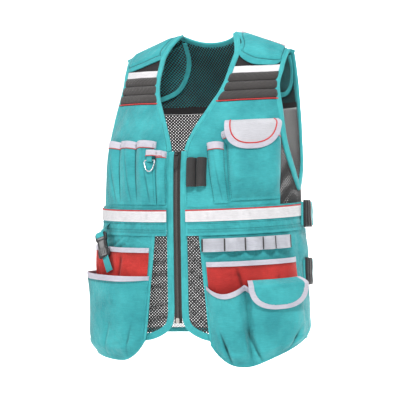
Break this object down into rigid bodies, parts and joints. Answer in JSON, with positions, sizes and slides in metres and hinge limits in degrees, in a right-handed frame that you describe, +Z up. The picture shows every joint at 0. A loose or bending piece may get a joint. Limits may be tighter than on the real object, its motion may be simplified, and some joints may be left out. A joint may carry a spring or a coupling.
{
  "type": "utility work vest",
  "caption": "Sleeveless zip-front work vest of net and woven cloth with padded shoulders, ribbed yokes, a waist belt, pen tubes, chest pockets and hanging tool pouches.",
  "frame": {"origin": "midway between the two neck points, on the ridge of the shoulders, where the wearer's shoulders carry the vest", "axes": "+Z up, -Y the way the wearer faces, +X towards the wearer's left"},
  "size_m": [0.4623, 0.2982, 0.6583],
  "materials": {
    "teal_cloth": "woven, matt",
    "net_cloth": "open knitted net",
    "black_cloth": "ribbed and woven, matt",
    "reflective_cloth": "silver reflective tape",
    "grey_cloth": "pale woven, matt",
    "red_cloth": "woven, matt",
    "black_plastic": "moulded, satin",
    "zip_tape": "zip tape and moulded teeth",
    "steel": "polished"
  },
  "bodies": {
    "vest": {"front_mesh_left": "net_cloth", "front_panel_left": "teal_cloth", "shoulder_base_left": "black_cloth", "shoulder_stripe_left": "reflective_cloth", "shoulder_ribs_left": "black_cloth", "shoulder_pad_left": "teal_cloth", "pad_tongue_left": "black_cloth", "front_mesh_right": "net_cloth", "front_panel_right": "teal_cloth", "shoulder_base_right": "black_cloth", "shoulder_stripe_right": "reflective_cloth", "shoulder_ribs_right": "black_cloth", "shoulder_pad_right": "teal_cloth", "pad_tongue_right": "black_cloth", "back_mesh": "net_cloth", "back_yoke": "teal_cloth", "armhole_binding_left": "teal_cloth", "armhole_binding_right": "teal_cloth", "neck_binding": "teal_cloth", "front_binding_left": "teal_cloth", "front_binding_right": "teal_cloth", "back_hem_binding": "teal_cloth", "belt_left": "teal_cloth", "belt_stripe_left": "reflective_cloth", "belt_right": "teal_cloth", "belt_stripe_right": "reflective_cloth", "belt_back": "teal_cloth", "belt_stripe_back": "reflective_cloth", "zip_tape_left": "zip_tape", "zip_tape_right": "zip_tape", "zip_chain": "zip_tape", "zip_slider": "steel", "pen_pocket": "teal_cloth", "small_pocket": "teal_cloth", "narrow_pocket": "teal_cloth", "chest_pocket": "teal_cloth", "webbing_loops": "black_cloth", "chest_flap": "grey_cloth", "d_ring_tab": "teal_cloth", "pouch_panel_left": "teal_cloth", "pouch_red_pocket_left": "red_cloth", "pouch_pocket_left": "teal_cloth", "pouch_panel_right": "teal_cloth", "pouch_red_pocket_right": "red_cloth", "pouch_pocket_right": "teal_cloth", "elastic_loops": "grey_cloth", "pouch_flap": "teal_cloth", "buckle_strap": "teal_cloth", "strap_tail": "teal_cloth", "buckle": "black_plastic", "side_strap_upper_left": "teal_cloth", "side_buckle_upper_left": "black_plastic", "side_strap_upper_right": "teal_cloth", "side_buckle_upper_right": "black_plastic", "side_strap_lower_left": "teal_cloth", "side_buckle_lower_left": "black_plastic", "side_strap_lower_right": "teal_cloth", "side_buckle_lower_right": "black_plastic"},
    "d_ring": {"d_ring": "steel"},
    "zip_pull": {"zip_pull": "steel"}
  },
  "joints": [
    {"name": "d_ring_swing", "type": "hinge", "parent": "vest", "child": "d_ring", "pos_m": [-0.05274, -0.18179, -0.2638], "axis": [-0.9925, 0.1225, 0], "range_deg": [0, 120]},
    {"name": "zip_pull_swing", "type": "hinge", "parent": "vest", "child": "zip_pull", "pos_m": [0, -0.17383, -0.25335], "axis": [-1, 0, 0], "range_deg": [0, 160]}
  ]
}
